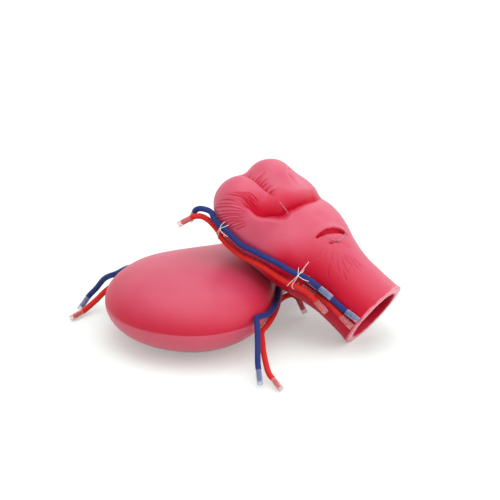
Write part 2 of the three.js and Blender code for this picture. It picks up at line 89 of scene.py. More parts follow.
# Light: a table that looks white, a pale world, and lamps by place, size in metres and watts
PAPER = (0.7, 0.75, 0.73, 1)
PAPER_GLOW = (0.26, 0.29, 0.28, 1)
TABLE_HALF = 3
WORLD_LIGHT = 0.82
LAMPS = [
    ("front", (0.6, -0.6, 1.4), 1.3, 3.5),
    ("top", (0, 0, 1.7), 1.3, 7),
    ("back", (-0.2, 1.5, 1.3), 1.6, 6.5),
    ("side", (1.4, 0.3, 0.9), 1.3, 7.5),
]

# Heights of a cord's middle over the foam in millimetres: on it, at an end, climbing over a cord, on a cord
LOW = 3.7
END = 4.3
MID = 7.4
OVER = 10.7

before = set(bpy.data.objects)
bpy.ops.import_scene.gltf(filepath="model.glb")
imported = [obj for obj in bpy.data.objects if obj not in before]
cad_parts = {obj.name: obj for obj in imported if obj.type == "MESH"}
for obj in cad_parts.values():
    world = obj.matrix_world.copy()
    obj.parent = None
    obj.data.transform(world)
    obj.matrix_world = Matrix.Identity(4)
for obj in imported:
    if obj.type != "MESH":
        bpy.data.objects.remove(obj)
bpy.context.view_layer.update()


def blend(a, b, size):
    h = np.maximum(size - np.abs(a - b), 0) / size
    return np.minimum(a, b) - h * h * size / 4


def smoothstep(x, low, high):
    t = np.clip((x - low) / (high - low), 0, 1)
    return t * t * (3 - 2 * t)


def round_distance(offsets, radii):
    """Distance to an ellipse or ellipsoid, negative inside, from the offsets to its middle."""
    near = np.sqrt(sum((v / r) ** 2 for v, r in zip(offsets, radii)))
    steep = np.sqrt(sum((v / r**2) ** 2 for v, r in zip(offsets, radii)))
    return near * (near - 1) / np.maximum(steep, 1e-9)


def plain_middle(y):
    share = smoothstep(y, 0, PLAIN_NECK_START)
    return PLAIN_HALF_THICKNESS + (PLAIN_NECK_RADIUS - PLAIN_HALF_THICKNESS) * share - FLOOR_CUT


def plain_distance(p):
    x, y, z = p.T
    run = np.hypot(np.maximum(y, 0), PLAIN_SHOULDER) - PLAIN_SHOULDER
    wide = -blend(-(PLAIN_HALF_WIDTH - PLAIN_TAPER * run), -PLAIN_NECK_RADIUS, PLAIN_NECK_FILLET)
    middle = plain_middle(y)
    thick = middle + FLOOR_CUT
    body = round_distance([x, z - middle], [wide, thick])
    dome = round_distance([x, z - middle, y], [wide, thick, PLAIN_DOME_LENGTH])
    return np.where(y >= 0, body, dome)


# Middle, radii and fillet, in millimetres, of each swelling of the folded model's body and of its roll
BODY_SWELLINGS = [
    ((0, -1, 113), (56, 36, 58), 30),
    ((4, -4, 147), (54, 29, 40), 20),
    ((-14, 6, 106), (34, 29, 34), 16),
]
ROLL_SWELLINGS = [
    ((29, 9, 163), (30.5, 28, 31), 12),
    ((-7, 22, 158), (30, 27.5, 31), 12),
    ((-27, 13.5, 140), (24, 26, 26), 14),
    ((3, 19, 137), (44, 29, 24.5), 8),
]
GROOVE_FILLET = 4 * MM
PINCH_FILLET = 14 * MM
PINCH_START = 36 * MM
PINCH_END = 54 * MM


def swellings(p, start, listed):
    for middle, radii, fillet in listed:
        offsets = [v - m * MM for v, m in zip(p, middle)]
        start = blend(start, round_distance(offsets, [r * MM for r in radii]), fillet * MM)
    return start


def body_and_roll(p):
    x, y, z = p.T
    above = np.maximum(z - NECK_LENGTH, 0) / NECK_CROWN
    flare = RIM_FLARE * np.exp(-z / RIM_FLARE_LENGTH)
    neck = np.sqrt(x**2 + y**2 + above**2) - NECK_RADIUS - flare
    return swellings(p.T, neck, BODY_SWELLINGS), swellings(p.T, np.inf, ROLL_SWELLINGS)


def folded_distance(p):
    body, roll = body_and_roll(p)
    pinch = smoothstep(p[:, 0], PINCH_START, PINCH_END)
    return blend(body, roll, GROOVE_FILLET + (PINCH_FILLET - GROOVE_FILLET) * pinch)


def slope(p, distance):
    """Unit vectors that point straight away from a skin."""
    step = 0.05 * MM
    here = distance(p)
    found = np.stack([distance(p + step * axis) - here for axis in np.eye(3)], 1)
    return found / np.maximum(np.linalg.norm(found, axis=1, keepdims=True), 1e-12)


def seat(p, distance, height):
    for _ in range(6):
        p = p + slope(p, distance) * (height - distance(p))[:, None]
    return p


def folded_frame():
    turn, pitch = math.radians(LEAN_TURN), math.radians(LEAN_PITCH)
    up = Vector((-math.cos(pitch) * math.cos(turn), -math.cos(pitch) * math.sin(turn), math.sin(pitch)))
    near = Vector((math.sin(turn), -math.cos(turn), 0))
    front = up.cross(near)
    basis = Matrix((near, front, up)).transposed().to_4x4()
    return Matrix.Translation(RIM_PLACE) @ basis


FOLDED = folded_frame()
PLAIN = Matrix.Identity(4)


def moved(p, matrix):
    m = np.array(matrix)
    return p @ m[:3, :3].T + m[:3, 3]


def camera():
    a, e = math.radians(AZIMUTH), math.radians(ELEVATION)
    back = Vector((math.sin(a) * math.cos(e), -math.cos(a) * math.cos(e), math.sin(e)))
    data = bpy.data.cameras.new("camera")
    data.lens = LENS
    data.sensor_width = SENSOR
    data.clip_end = 20
    made = bpy.data.objects.new("camera", data)
    made.location = Vector(AIM) + back * CAMERA_DISTANCE
    made.rotation_euler = back.to_track_quat("Z", "Y").to_euler()
    bpy.context.scene.collection.objects.link(made)
    bpy.context.scene.camera = made


camera()


def link(made):
    bpy.context.scene.collection.objects.link(made)
    return made


def smooth(mesh):
    mesh.polygons.foreach_set("use_smooth", np.ones(len(mesh.polygons), bool))
    mesh.update()


def mesh_from(name, bm):
    mesh = bpy.data.meshes.new(name)
    bm.to_mesh(mesh)
    bm.free()
    return mesh


def dressed(name, mesh, material):
    """A piece with smooth faces and one material, in the scene."""
    smooth(mesh)
    mesh.materials.append(material)
    return link(bpy.data.objects.new(name, mesh))


def stand_for(made, node, body):
    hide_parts(node)
    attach(made, body)


def coordinates(mesh):
    co = np.empty(len(mesh.vertices) * 3)
    mesh.vertices.foreach_get("co", co)
    return co.reshape(-1, 3)


def value_at_points(mesh, name, values):
    """Keeps one number for each vertex, which the materials read."""
    mesh.attributes.new(name, "FLOAT", "POINT").data.foreach_set("value", values.astype(np.float32))


# Centre lines

def through(chosen, share):
    """Points of the smooth line through chosen points, at shares from 0 to 1."""
    chosen = np.array(chosen)
    line = np.vstack([2 * chosen[0] - chosen[1], chosen, 2 * chosen[-1] - chosen[-2]])
    place = np.clip(np.asarray(share) * (len(chosen) - 1), 0, len(chosen) - 1 - 1e-9)
    i = place.astype(int)
    t = (place - i)[:, None]
    a, b, c, d = line[i], line[i + 1], line[i + 2], line[i + 3]
    before, here, after = (np.sqrt(np.linalg.norm(v, axis=1))[:, None] for v in (b - a, c - b, d - c))
    start = ((b - a) / before - (c - a) / (before + here) + (c - b) / here) * here
    end = ((c - b) / here - (d - b) / (here + after) + (d - c) / after) * here
    return (
        b
        + start * t
        + (3 * (c - b) - 2 * start - end) * t**2
        + (2 * (b - c) + start + end) * t**3
    )


def lengths(line):
    steps = np.linalg.norm(np.diff(line, axis=0), axis=1)
    return np.concatenate([[0], np.cumsum(steps)])


def even(line, count):
    """The same line with points at even steps of length."""
    run = lengths(line)
    places = np.linspace(0, run[-1], count + 1)
    return np.stack([np.interp(places, run, line[:, k]) for k in range(3)], 1)


def set_over(chosen, distance):
    """Chosen points in metres, those with a fourth number set to that height over the foam."""
    made = []
    for mark in chosen:
        p = np.array(mark) * MM
        at = p[None, :3]
        made.append(seat(at, distance, p[3])[0] if len(p) == 4 else at[0])
    return made


def toward(start, end, run):
    return start + (end - start) / np.linalg.norm(end - start) * run


def centre_line(chosen, distance):
    line = set_over(chosen, distance)
    run = SLEEVE_LENGTH - SLEEVE_OVERHANG
    first = toward(line[0], line[1], run)
    last = toward(line[-1], line[-2], run)
    line = [line[0], first, *line[1:-1], last, line[-1]]
    fine = through(line, np.linspace(0, 1, 40 * len(line)))
    return even(fine, max(8, round(lengths(fine)[-1] / CORD_STEP)))


def along(line):
    steps = np.gradient(line, axis=0)
    return steps / np.linalg.norm(steps, axis=1, keepdims=True)


def sides_of(line):
    """Two directions across a line at each of its points, carried along it without a twist."""
    ahead = along(line)
    start = Vector(ahead[0]).orthogonal().normalized()
    first = [np.array(start)]
    for i in range(1, len(line)):
        side = first[-1] - ahead[i] * (first[-1] @ ahead[i])
        first.append(side / np.linalg.norm(side))
    first = np.array(first)
    return first, np.cross(ahead, first)


# Tubes

def braid(turn, run):
    """Height, 0 to 1, of two crossing sets of strands that pass over and under each other."""
    right = STRANDS * (turn + run / BRAID_PITCH)
    left = STRANDS * (turn - run / BRAID_PITCH)
    on_top = (np.floor(right) + np.floor(left)) % 2 < 1
    across = np.where(on_top, right, left) % 1 - 0.5
    length = np.where(on_top, left, right) % 1 - 0.5
    return np.sqrt(1 - (1.9 * across) ** 2) * (0.55 + 0.45 * np.cos(np.pi * length))


def tube(name, lines, radius, sides, material, relief=None, depth=0, held=0):
    """Round tubes along lines, as one mesh. Relief gives the share of the depth that each place keeps.

    Held is the length at each end that a sleeve presses thinner.
    """
    whole = bmesh.new()
    for line in lines:
        bm = bmesh.new()
        bmesh.ops.create_grid(bm, x_segments=sides, y_segments=len(line) - 1, size=0.5)
        mesh = mesh_from("strip", bm)
        spot = coordinates(mesh) + 0.5
        turn = spot[:, 0]
        ring = np.rint(spot[:, 1] * (len(line) - 1)).astype(int)
        run = lengths(line)[ring]
        high = np.ones(len(spot)) if relief is None else relief(turn, run)
        from_end = np.minimum(run, run.max() - run) / radius
        round_off = np.sqrt(np.clip(1 - (1 - np.clip(from_end + 0.25, 0, 1)) ** 2, 0, 1))
        pressed = END_PRESS * (1 - smoothstep(from_end * radius, held - MM, held + MM)) if held else 0
        size = (radius - pressed - depth * (1 - high)) * round_off
        first, second = sides_of(line)
        angle = (2 * np.pi * turn)[:, None]
        out = np.cos(angle) * first[ring] + np.sin(angle) * second[ring]
        mesh.vertices.foreach_set("co", (line[ring] + out * size[:, None]).ravel())
        value_at_points(mesh, "weave", high)
        whole.from_mesh(mesh)
        bpy.data.meshes.remove(mesh)
    bmesh.ops.remove_doubles(whole, verts=whole.verts, dist=1e-6)
    bmesh.ops.holes_fill(whole, edges=[e for e in whole.edges if e.is_boundary], sides=0)
    bmesh.ops.recalc_face_normals(whole, faces=whole.faces)
    return dressed(name, mesh_from(name, whole), material)


def sleeve(name, line, material):
    """Short clear tube over the end of a cord, spun round its own axis."""
    outward = line[0] - line[2]
    outward /= np.linalg.norm(outward)
    lip = 0.1 * MM
    low, high = SLEEVE_OVERHANG - SLEEVE_LENGTH, SLEEVE_OVERHANG
    profile = [
        (SLEEVE_BORE, low + lip), (SLEEVE_BORE + lip, low), (SLEEVE_RADIUS - lip, low),
        (SLEEVE_RADIUS, low + lip), (SLEEVE_RADIUS + lip, (low + high) / 2),
        (SLEEVE_RADIUS, high - lip), (SLEEVE_RADIUS - lip, high), (SLEEVE_BORE + lip, high),
        (SLEEVE_BORE, high - lip), (SLEEVE_BORE, low + lip),
    ]
    bm = bmesh.new()
    verts = [bm.verts.new((r, 0, z)) for r, z in profile]
    edges = [bm.edges.new(pair) for pair in zip(verts, verts[1:])]
    bmesh.ops.spin(bm, geom=verts + edges, cent=(0, 0, 0), axis=(0, 0, 1), angle=2 * math.pi, steps=40)
    bmesh.ops.remove_doubles(bm, verts=bm.verts, dist=1e-6)
    bmesh.ops.recalc_face_normals(bm, faces=bm.faces)
    turned = Vector(outward).to_track_quat("Z", "Y").to_matrix().to_4x4()
    bm.transform(Matrix.Translation(line[0]) @ turned)
    return dressed(name, mesh_from(name, bm), material)


# Materials

def put(tree, kind, inputs=None, **settings):
    """Adds a node with its settings, its values and what feeds it."""
    made = tree.nodes.new("ShaderNode" + kind)
    for key, value in settings.items():
        setattr(made, key, value)
    for key, value in (inputs or {}).items():
        if isinstance(value, bpy.types.NodeSocket):
            tree.links.new(value, made.inputs[key])
        else:
            made.inputs[key].default_value = value
    return made


def colour(r, g, b):
    """Linear colour from the 0 to 255 numbers of a screen colour."""
    made = [(v / 255 / 12.92) if v <= 10 else ((v / 255 + 0.055) / 1.055) ** 2.4 for v in (r, g, b)]
    return (*made, 1)


def uneven_group():
    """Soft clouds and fine grain of a surface, as many to the metre as each material gives."""
    tree = bpy.data.node_groups.new("uneven", "ShaderNodeTree")
    tree.interface.new_socket("Clouds", in_out="INPUT", socket_type="NodeSocketFloat")
    tree.interface.new_socket("Grains", in_out="INPUT", socket_type="NodeSocketFloat")
    tree.interface.new_socket("Cloud", in_out="OUTPUT", socket_type="NodeSocketFloat")
    tree.interface.new_socket("Grain", in_out="OUTPUT", socket_type="NodeSocketFloat")
    given = tree.nodes.new("NodeGroupInput")
    place = put(tree, "TexCoord").outputs["Object"]
    clouds = put(tree, "TexNoise", {"Vector": place, "Scale": given.outputs[0], "Detail": 3})
    grain = put(tree, "TexNoise", {"Vector": place, "Scale": given.outputs[1], "Detail": 5})
    out = tree.nodes.new("NodeGroupOutput")
    tree.links.new(clouds.outputs["Fac"], out.inputs["Cloud"])
    tree.links.new(grain.outputs["Fac"], out.inputs["Grain"])
    return tree


UNEVEN = uneven_group()


def material(name, clouds, grains):
    made = bpy.data.materials.new(name)
    made.use_nodes = True
    tree = made.node_tree
    tree.nodes.clear()
    group = tree.nodes.new("ShaderNodeGroup")
    group.node_tree = UNEVEN
    group.inputs["Clouds"].default_value = clouds
    group.inputs["Grains"].default_value = grains
    return made, tree, group.outputs["Cloud"], group.outputs["Grain"]


def finish_material(tree, values):
    shader = put(tree, "BsdfPrincipled", values)
    out = put(tree, "OutputMaterial")
    tree.links.new(shader.outputs[0], out.inputs["Surface"])


def mask(tree, value, low, high, to_low=0.0, to_high=1.0):
    given = {"Value": value, "From Min": low, "From Max": high, "To Min": to_low, "To Max": to_high}
    return put(tree, "MapRange", given).outputs["Result"]


def bump(tree, height, strength, depth, under=None):
    """Small relief by shading alone, its depth in millimetres, over another one."""
    given = {"Height": height, "Strength": strength, "Distance": depth * MM}
    if under:
        given["Normal"] = under
    return put(tree, "Bump", given).outputs[0]


def mixed(tree, share, a, b):
    made = tree.nodes.new("ShaderNodeMix")
    made.data_type = "RGBA"
    for key, value in ((0, share), (6, a), (7, b)):
        if isinstance(value, bpy.types.NodeSocket):
            tree.links.new(value, made.inputs[key])
        else:
            made.inputs[key].default_value = value
    return made.outputs[2]


def attribute(tree, name):
    return put(tree, "Attribute", attribute_name=name).outputs["Fac"]


def foam_material():
    """Integral-skin foam: soft pink skin, painted deep red where shade is painted; raw foam with pores on
    sliced faces. Some of the raw colour is painted light under the plain model's seam, and the pores' pits
    are painted shade.
    """
    made, tree, cloud, grain = material("foam", 22, 900)
    painted_shade, cut_and_painted_light = attribute(tree, "painted_shade"), attribute(tree, "cut_and_painted_light")
    skin = mixed(tree, mask(tree, cloud, 0.35, 0.65), FOAM_DEEP, FOAM_BRIGHT)
    # Painted shade: the skin turns deep red by the attribute that marks painted shade.
    skin = mixed(tree, mask(tree, painted_shade, 0, 0.9), skin, FOAM_PAINTED_SHADE)
    place = put(tree, "TexCoord").outputs["Object"]
    pores = put(tree, "TexVoronoi", {"Vector": place, "Scale": 1400})
    # Painted shade in the pores: their pits take the deeper skin colour.
    pore = mask(tree, pores.outputs["Distance"], 0.1, 0.5)
    raw = mixed(tree, pore, FOAM_DEEP, FOAM_RAW)
    skin = mixed(tree, cut_and_painted_light, skin, raw)
    fine = bump(tree, grain, 0.18, 0.25, bump(tree, cloud, 0.25, 1.2))
    finish_material(tree, {
        "Base Color": skin,
        "Roughness": mask(tree, grain, 0.3, 0.7, 0.4, 0.54),
        # Less gloss and sheen where shade is painted.
        "Specular IOR Level": mask(tree, painted_shade, 0, 0.9, 0.8, 0.1),
        "Sheen Weight": mask(tree, painted_shade, 0, 0.9, 0.16, 0),
        "Sheen Roughness": 0.5,
        "Sheen Tint": (1, 0.75, 0.8, 1),
        "Subsurface Weight": 0.12,
        "Subsurface Radius": (1.0, 0.35, 0.25),
        "Subsurface Scale": 3 * MM,
        "Normal": bump(tree, pore, cut_and_painted_light, 0.3, fine),
    })
    return made


def cord_material(name, bright, dark):
    """Braided cord: filaments along the strands, with shade painted dark between them."""
    made, tree, cloud, grain = material(name, 120, 2600)
    weave = attribute(tree, "weave")
    # Painted shade: darker where the weave sinks between the strands.
    shade = mixed(tree, mask(tree, weave, 0.15, 0.85), dark, bright)
    shade = mixed(tree, mask(tree, grain, 0.35, 0.75, 0, 0.3), shade, dark)
    finish_material(tree, {
        "Base Color": shade,
        "Roughness": mask(tree, cloud, 0.3, 0.7, 0.55, 0.7),
        "Specular IOR Level": 0.35,
        "Sheen Weight": 0.06,
        "Sheen Roughness": 0.4,
        "Normal": bump(tree, grain, 0.4, 0.12, bump(tree, weave, 0.5, 0.3)),
    })
    return made


def sleeve_material(name, pale, deep):
    """Thin milky plastic that lets the cord show through and takes on some of its colour, with a near-white
    sheen painted where it is seen edge-on.
    """
    made, tree, cloud, grain = material(name, 160, 1500)
    facing = put(tree, "LayerWeight", {"Blend": 0.5}).outputs["Facing"]
    shade = mixed(tree, mask(tree, cloud, 0.35, 0.65), deep, pale)
    # Painted sheen: near-white where the surface is seen edge-on.
    shade = mixed(tree, mask(tree, facing, 0.5, 0.95), shade, SLEEVE_PAINTED_SHEEN)
    finish_material(tree, {
        "Base Color": shade,
        "Roughness": mask(tree, grain, 0.3, 0.7, 0.18, 0.3),
        "Alpha": mask(tree, facing, 0.35, 0.9, 0.2, 0.85),
        "IOR": 1.45,
        "Normal": bump(tree, grain, 0.1, 0.1),
    })
    return made


def thread_material(name, pale, deep):
    made, tree, cloud, grain = material(name, 300, 3500)
    shade = mixed(tree, mask(tree, grain, 0.3, 0.7), deep, pale)
    finish_material(tree, {
        "Base Color": shade,
        "Roughness": mask(tree, cloud, 0.3, 0.7, 0.5, 0.65),
        "Normal": bump(tree, grain, 0.5, 0.1),
    })
    return made


FOAM_BRIGHT = colour(202, 62, 96)
FOAM_DEEP = colour(194, 50, 84)
# Deep red of the painted shade
FOAM_PAINTED_SHADE = colour(194, 8, 42)
FOAM_RAW = colour(255, 176, 190)
FOAM = foam_material()
RED = cord_material("artery_cord", colour(236, 30, 22), colour(140, 8, 8))
BLUE = cord_material("vein_cord", colour(18, 48, 128), colour(5, 11, 48))
# Near-white of the painted sheen on the sleeves' edges
SLEEVE_PAINTED_SHEEN = colour(244, 240, 244)
ARTERY_SLEEVE = sleeve_material("artery_sleeve", colour(240, 176, 178), colour(226, 146, 150))
VEIN_SLEEVE = sleeve_material("vein_sleeve", colour(186, 196, 228), colour(160, 172, 214))
THREAD = thread_material("thread", colour(255, 250, 246), colour(236, 226, 222))
SUTURE = thread_material("suture", colour(214, 166, 180), colour(160, 100, 124))

# Routes of the vessel cords in millimetres, each in its own model's frame. A fourth number is a height over
# the foam.
PLAIN_CORDS = {
    "plain_right_ovarian_vein": [
        (38, 126, 42, LOW), (38.5, 110, 42, LOW), (43, 97, 40, LOW), (52, 85, 38, LOW), (62, 64, 38, LOW),
        (69, 50, 38, LOW), (76, 33, 39, LOW), (81, 16, 41, LOW), (86, 0, 45, LOW), (91, -6, 40),
        (100, -17, 28), (111, -31, 17.5), (123, -43.5, 8),
    ],
    "plain_right_ovarian_artery": [
        (38, 126, 33, LOW), (38.5, 110, 33, LOW), (43, 97, 31, LOW), (49, 86, 30, LOW), (56, 77, 30, LOW),
        (67, 55, 30, LOW), (74, 38, 30, LOW), (77.5, 24, 28, LOW), (82, 13, 24), (89.5, 4, 20),
        (102, -10, 16), (123, -29, 9), (141.5, -38, 5.2),
    ],
    "plain_right_uterine_artery": [
        (60, 52, 15, LOW), (56, 66, 16, LOW), (50, 79, 19, LOW), (50, 90, 22), (54, 99, 22.5),
        (57, 104.6, 17), (63.5, 104.8, 6.5),
    ],
    "plain_right_uterine_vein": [
        (39.5, 104, 22, END), (38, 119, 24, LOW), (39.5, 129, 21), (45, 136, 13), (53.5, 144, 6),
    ],
    "plain_left_ovarian_vein": [
        (-38, 126, 42, LOW), (-38.5, 110, 42, LOW), (-43, 97, 41, LOW), (-52, 85, 40, LOW),
        (-62, 64, 40, LOW), (-70, 50, 40, LOW), (-77, 30, 41, LOW), (-81, 8, 44, LOW), (-86, -8, 46, LOW),
        (-99, -10, 37), (-111, -11, 22), (-118.8, -13, 12.5), (-117, -26.5, 6.5),
    ],
    "plain_left_ovarian_artery": [
        (-38, 126, 33, LOW), (-38.5, 110, 33, LOW), (-43, 97, 32, LOW), (-52, 85, 31, LOW),
        (-62, 64, 31, LOW), (-70, 50, 31, LOW), (-76, 30, 32, LOW), (-81, 12, 34, LOW), (-87, 0, 33),
        (-96, -10, 25.5), (-106, -18, 12.5), (-110, -30.5, 5.5), (-110.4, -45.5, 4.4),
    ],
    "plain_left_uterine_artery": [
        (-60, 52, 15, LOW), (-56, 66, 16, LOW), (-50, 79, 19, LOW), (-49, 90, 20), (-55, 100, 13),
        (-66, 109, 6),
    ],
}
PLAIN_CORDS["plain_left_uterine_vein"] = [
    (-x, *rest) for x, *rest in PLAIN_CORDS["plain_right_uterine_vein"]
]

FOLDED_CORDS = {
    "sutured_near_ovarian_vein": [
        (50.7, -31.3, 194.3), (54, -18.4, 194.6), (55, -11.3, 190.9), (57.5, -6.2, 182.2, LOW),
        (59.6, -4, 172, LOW), (60.5, -2.9, 165.7, LOW), (62, -0.5, 157, LOW), (63, -1, 144, LOW),
        (63, -1.6, 134, LOW), (61, 2.3, 120, LOW), (59, 5, 109, LOW), (56.6, 9, 93.5, LOW),
        (54, 11.5, 81, MID), (50.5, 15.5, 67, OVER), (46.5, 14.9, 54, OVER), (44.6, 14.4, 39, OVER),
    ],
    "sutured_near_ovarian_artery": [
        (69.6, -29.3, 194.6), (62, -19.5, 190.5), (58.2, -15.4, 185.4), (56, -14, 177.6),
        (56.4, -13.8, 169.4), (57.8, -13.8, 162.2), (58, -14, 155, LOW), (58, -14.5, 144, LOW),
        (57, -13, 130, LOW), (59, -9, 117, LOW), (59.3, -5.6, 106, LOW), (57.2, -3.9, 90, LOW),
        (54.5, -0.5, 80, MID), (52.7, 3.3, 69, OVER), (50, 4.5, 58, OVER), (47.8, 2.2, 47, OVER),
        (46.5, -0.9, 34, OVER),
    ],
    "sutured_near_uterine_vein": [
        (42, 10, 64, LOW), (40, 8.5, 49, LOW), (39.2, 9, 35, LOW), (39.2, 10, 20, LOW),
        (39.8, 12.4, 5.5, LOW),
    ],
    "sutured_near_uterine_artery": [
        (43.5, 0.5, 62, LOW), (41, 1.5, 47.5, LOW), (40, 2.8, 35.5, LOW), (40.2, 3, 21, LOW),
        (41.3, 2.6, 6.5, LOW),
    ],
    "sutured_far_ovarian_vein": [
        (-68, -22, 160), (-60, -15, 168.5), (-57, -12, 160), (-57, -11, 149, LOW), (-59, -11, 138, LOW),
        (-60, -10, 120, LOW), (-58.6, -10.1, 109, LOW), (-55.9, -11.9, 93.5, LOW), (-53.3, -8.5, 81, MID),
        (-50.8, -5.1, 67, OVER), (-46.8, -4.6, 54, OVER), (-44.8, -4.3, 39, OVER),
    ],
    "sutured_far_ovarian_artery": [
        (-62, -39, 163), (-55, -30, 158), (-51, -24, 148, LOW), (-51, -23, 138, LOW), (-53, -22, 120, LOW),
        (-52.9, -21.8, 106, LOW), (-50.3, -23.2, 90, LOW), (-49.7, -20.1, 80, MID),
        (-48.1, -16.9, 69, OVER), (-47.3, -15.7, 58, OVER), (-44.7, -16.4, 47, OVER),
        (-42.9, -18.1, 34, OVER),
    ],
    "sutured_far_uterine_vein": [
        (-41.3, -7.8, 64, LOW), (-39.1, -9.5, 49, LOW), (-38.6, -9.5, 35, LOW), (-38.7, -8.5, 20, LOW),
        (-39.4, -7.1, 5.5, LOW),
    ],
    "sutured_far_uterine_artery": [
        (-38.8, -18.6, 62, LOW), (-36.3, -18.2, 47.5, LOW), (-35.8, -18.2, 35.5, LOW),
        (-35.9, -17.7, 21, LOW), (-37, -17.3, 6.5, LOW),
    ],
}


# Brace suture in millimetres, with heights over the foam. It is sunk where the folds close over it.
FLAT = 0.1
THREAD_OUT = -0.6
DEEP = -3
BURIED = -7
BRACE_ROUTE = [
    (5.9, 39.2, 72.5, FLAT), (8.7, 39.1, 74.6, FLAT), (10.4, 39.3, 78.2, FLAT), (11.6, 39.5, 82.1, FLAT),
    (13, 39, 86.5, BURIED), (14, 38, 95, DEEP), (18, 37, 108, DEEP), (23.5, 36.2, 120.5, DEEP),
    (26.2, 38.5, 125.5, THREAD_OUT), (28.3, 41.3, 131.1, THREAD_OUT), (28.6, 42.6, 137.1, THREAD_OUT),
    (23.8, 41, 150, BURIED), (20, 38.8, 163, BURIED), (19, 35, 175, BURIED), (16, 18, 184, BURIED),
    (12, -5, 180, DEEP), (8, -22, 168, FLAT), (3, -31, 150, FLAT), (-1, -36, 130, FLAT),
    (-1, -37, 112, FLAT), (-2, -37, 96, FLAT), (-9, -37, 87, DEEP), (-17, -36, 95, FLAT),
    (-19, -36, 112, FLAT), (-19, -35, 130, FLAT), (-18, -31, 148, FLAT), (-16, -18, 164, DEEP),
    (-18, 2, 171, BURIED), (-18, 25, 169, BURIED), (-17.5, 44, 156, BURIED), (-15, 47.5, 142, BURIED),
    (-10, 46, 131, BURIED), (-12, 40, 120, BURIED), (-14, 40, 106, DEEP), (-15, 39, 92, DEEP),
    (-15, 38, 80, BURIED), (-12.5, 38.2, 73.5, FLAT), (-5.9, 39.2, 72.4, FLAT), (1.6, 39.4, 71.8, FLAT),
    (5.9, 39.2, 72.5, FLAT),
]
BRACE_TAILS = [
    [(5.9, 39.2, 72.5, FLAT), (-5.5, 39.3, 72.2, 0.6), (-15.5, 38, 81.5, 8.5)],
    [(5.9, 39.2, 72.5, FLAT), (1.2, 38.8, 69, -2), (-2.2, 38, 65, -2)],
]


def thread_line(chosen, count):
    fine = through(chosen, np.linspace(0, 1, 40 * len(chosen)))
    return even(fine, count)


def knot_ball(at, radius):
    """Thread wound over itself: three loops round a point."""
    turns = np.linspace(0, 6 * np.pi, 60)
    lift = np.linspace(-0.5, 0.5, 60) * radius
    ring = np.stack([np.cos(turns), np.sin(turns), np.sin(turns * 0.7)], 1) * radius * 0.55
    ring[:, 2] += lift
    return np.array(at) + ring


def build_cords(routes, distance, matrix, body):
    lines = {}
    for name, chosen in routes.items():
        line = moved(centre_line(chosen, distance), matrix)
        lines[name] = line
        vein = name.endswith("vein")
        for end, way in (("first", line), ("second", line[::-1])):
            made = sleeve(f"{name}_{end}_clear_sleeve", way, VEIN_SLEEVE if vein else ARTERY_SLEEVE)
            stand_for(made, f"{name}_{end}_sleeve", body)
        yarn = BLUE if vein else RED
        held = SLEEVE_LENGTH - SLEEVE_OVERHANG
        cord = tube(f"{name}_braided_cord", [line], CORD_RADIUS, CORD_SIDES, yarn, braid, BRAID_DEPTH, held)
        stand_for(cord, name, body)
        heights = distance(moved(line[[0, -1]], np.linalg.inv(np.array(matrix))))
    return lines


PLAIN_LINES = build_cords(PLAIN_CORDS, plain_distance, PLAIN, "plain_uterus")
FOLDED_LINES = build_cords(FOLDED_CORDS, folded_distance, FOLDED, "sutured_uterus")


def add_tie(name, cords, axis, value, distance, matrix, body, loose_end=0):
    """Stitch of thread over a pair of cords, with its knot and tails."""
    back = np.linalg.inv(np.array(matrix))
    at, ahead = [], []
    for line in cords:
        own = moved(line, back)
        i = np.argmin(np.abs(own[:, axis] - value))
        at.append(own[i])
        ahead.append(along(own)[i])
    if ahead[0] @ ahead[1] < 0:
        ahead[1] = -ahead[1]
    forward = ahead[0] + ahead[1]
    forward /= np.linalg.norm(forward)
    across = at[1] - at[0]
    across -= forward * (across @ forward)
    across /= np.linalg.norm(across)
    out = np.cross(forward, across)
    if out @ slope(at[0][None], distance)[0] < 0:
        out = -out
    reach = CORD_RADIUS + TIE_RADIUS + TIE_SLACK

    def place(cord, side, lift, shift):
        return at[cord] + (across * side + out * lift) * reach + ahead[cord] * shift * MM

    def foot(cord, side, shift):
        return seat(place(cord, side, -0.6, shift)[None], distance, 0)[0]

    corner = math.sqrt(0.5)
    strands = [
        [
            foot(0, -1.3, 3 * way), place(0, -1, 0, 2 * way), place(0, -corner, corner, way),
            place(0, 0, 1, 0), place(1, 0, 1, -2 * way), place(1, corner, corner, -3 * way),
            place(1, 1, 0, -4 * way), foot(1, 1.3, -5 * way),
        ]
        for way in (-1, 1)
    ]
    knot = place(0, 0, 1, 0) + out * KNOT_RADIUS / 3
    tails = [[knot, place(0, 0.2, 1.4, 4), place(0, 0.4, 1.3, 8), place(0, 0.3, 1.3, 12)]]
    if loose_end:
        tails.append([knot] + [
            place(0, -loose_end * MM * s / reach, 1.2 - s / 2, 6 * s) for s in (0.3, 0.6, 1)
        ])
    lines = [thread_line(line, TIE_STEPS) for line in strands + tails]
    lines.append(thread_line(knot_ball(knot, KNOT_RADIUS), KNOT_STEPS))
    lines = [moved(line, matrix) for line in lines]
    made = tube(f"{name}_thread", lines, TIE_RADIUS, THREAD_SIDES, THREAD)
    stand_for(made, name, body)


def pair(lines, start):
    return [lines[f"{start}_ovarian_{kind}"] for kind in ("vein", "artery")]


for side in ("left", "right"):
    add_tie(f"plain_{side}_tie", pair(PLAIN_LINES, f"plain_{side}"), 1, 0.103, plain_distance, PLAIN,
            "plain_uterus")
for side, high, loose in (("near", 0.159, 17), ("far", 0.139, 0)):
    cords = pair(FOLDED_LINES, f"sutured_{side}")
    add_tie(f"sutured_{side}_upper_tie", cords, 2, high, folded_distance, FOLDED, "sutured_uterus")
    add_tie(f"sutured_{side}_lower_tie", cords, 2, 0.072, folded_distance, FOLDED, "sutured_uterus", loose)


